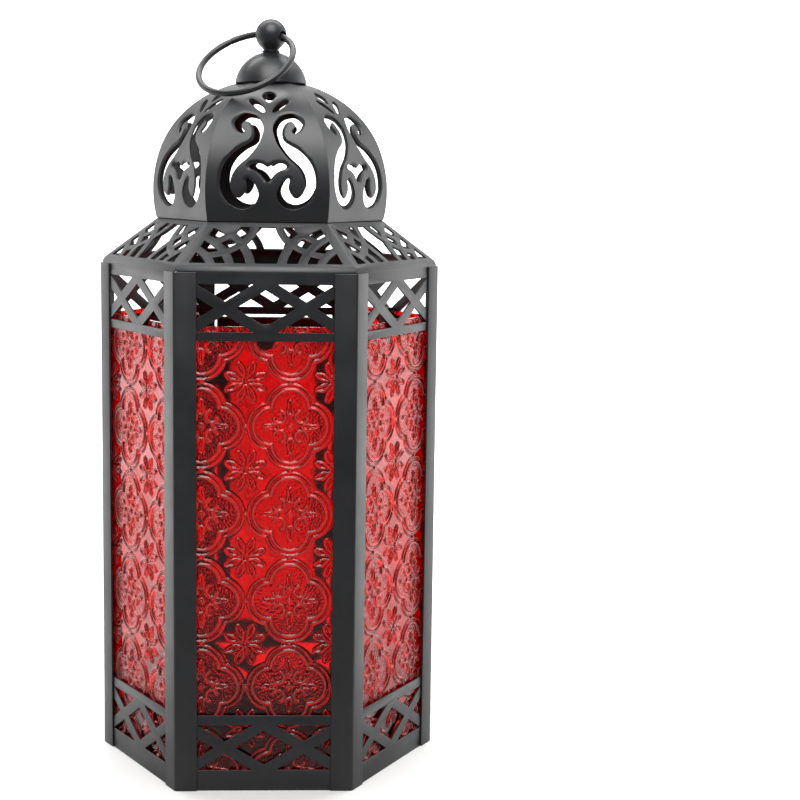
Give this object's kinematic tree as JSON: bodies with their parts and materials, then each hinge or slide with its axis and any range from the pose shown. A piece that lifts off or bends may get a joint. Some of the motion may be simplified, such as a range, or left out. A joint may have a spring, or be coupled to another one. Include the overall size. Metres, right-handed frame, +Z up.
{
  "type": "candle lantern",
  "caption": "Hexagonal candle lantern with pressed red glass panes, pierced black sheet-metal bands, a pierced dome with a carrying ring and a hinged glass door.",
  "frame": {"origin": "centre of the base, on the surface the lantern stands on", "axes": "+Z up along the lantern's axis; -Y out of the front pane; +Y out of the door; +X through a corner post"},
  "size_m": [0.1516, 0.1399, 0.3305],
  "materials": {
    "black_sheet": "satin black powder coat on steel sheet",
    "inner_sheet": "matt black paint, inside",
    "steel_fasteners": "dark plated steel",
    "red_glass": "clear pressed glass, coloured red"
  },
  "bodies": {
    "lantern": {"corner_post_1": "black_sheet", "corner_post_2": "black_sheet", "corner_post_3": "black_sheet", "corner_post_4": "black_sheet", "corner_post_5": "black_sheet", "corner_post_6": "black_sheet", "lower_fret_1": "black_sheet", "lower_fret_2": "black_sheet", "lower_fret_3": "black_sheet", "lower_fret_4": "black_sheet", "lower_fret_5": "black_sheet", "lower_fret_6": "black_sheet", "roof_panel_1": "black_sheet", "roof_panel_2": "black_sheet", "roof_panel_3": "black_sheet", "roof_panel_4": "black_sheet", "roof_panel_5": "black_sheet", "roof_panel_6": "black_sheet", "dome_gore_1": "black_sheet", "dome_gore_2": "black_sheet", "dome_gore_3": "black_sheet", "dome_gore_4": "black_sheet", "dome_gore_5": "black_sheet", "dome_gore_6": "black_sheet", "glass_pane_1": "red_glass", "glass_pane_2": "red_glass", "glass_pane_3": "red_glass", "glass_pane_5": "red_glass", "glass_pane_6": "red_glass", "glass_clips": "inner_sheet", "foot_tabs": "inner_sheet", "base_tray": "inner_sheet", "candle_pan": "inner_sheet", "crown_cap": "black_sheet", "finial_ball": "black_sheet", "finial_washer": "inner_sheet", "finial_nut": "steel_fasteners", "door_stops": "inner_sheet", "hinge_post_leaf_lower": "black_sheet", "hinge_pin_lower": "steel_fasteners", "hinge_post_leaf_upper": "black_sheet", "hinge_pin_upper": "steel_fasteners", "latch_rivet": "steel_fasteners"},
    "door": {"door_frame": "black_sheet", "door_glass": "red_glass", "door_clips": "inner_sheet", "door_knob": "black_sheet", "hinge_door_leaf_lower": "black_sheet", "hinge_door_leaf_upper": "black_sheet"},
    "ring": {"carrying_ring": "black_sheet"},
    "latch": {"latch_button": "black_sheet"}
  },
  "joints": [
    {"name": "ring_swing", "type": "hinge", "parent": "lantern", "child": "ring", "pos_m": [0, 0, 0.32365], "axis": [-0.8134, 0.5695, 0.1184], "range_deg": [0, 256]},
    {"name": "door_hinge", "type": "hinge", "parent": "lantern", "child": "door", "pos_m": [-0.0279, 0.0675, 0], "axis": [0, 0, 1], "range_deg": [0, 115]},
    {"name": "latch_turn", "type": "hinge", "parent": "lantern", "child": "latch", "pos_m": [0.0333, 0.06662, 0.12], "axis": [0, 1, 0], "range_deg": [0, 90]}
  ]
}
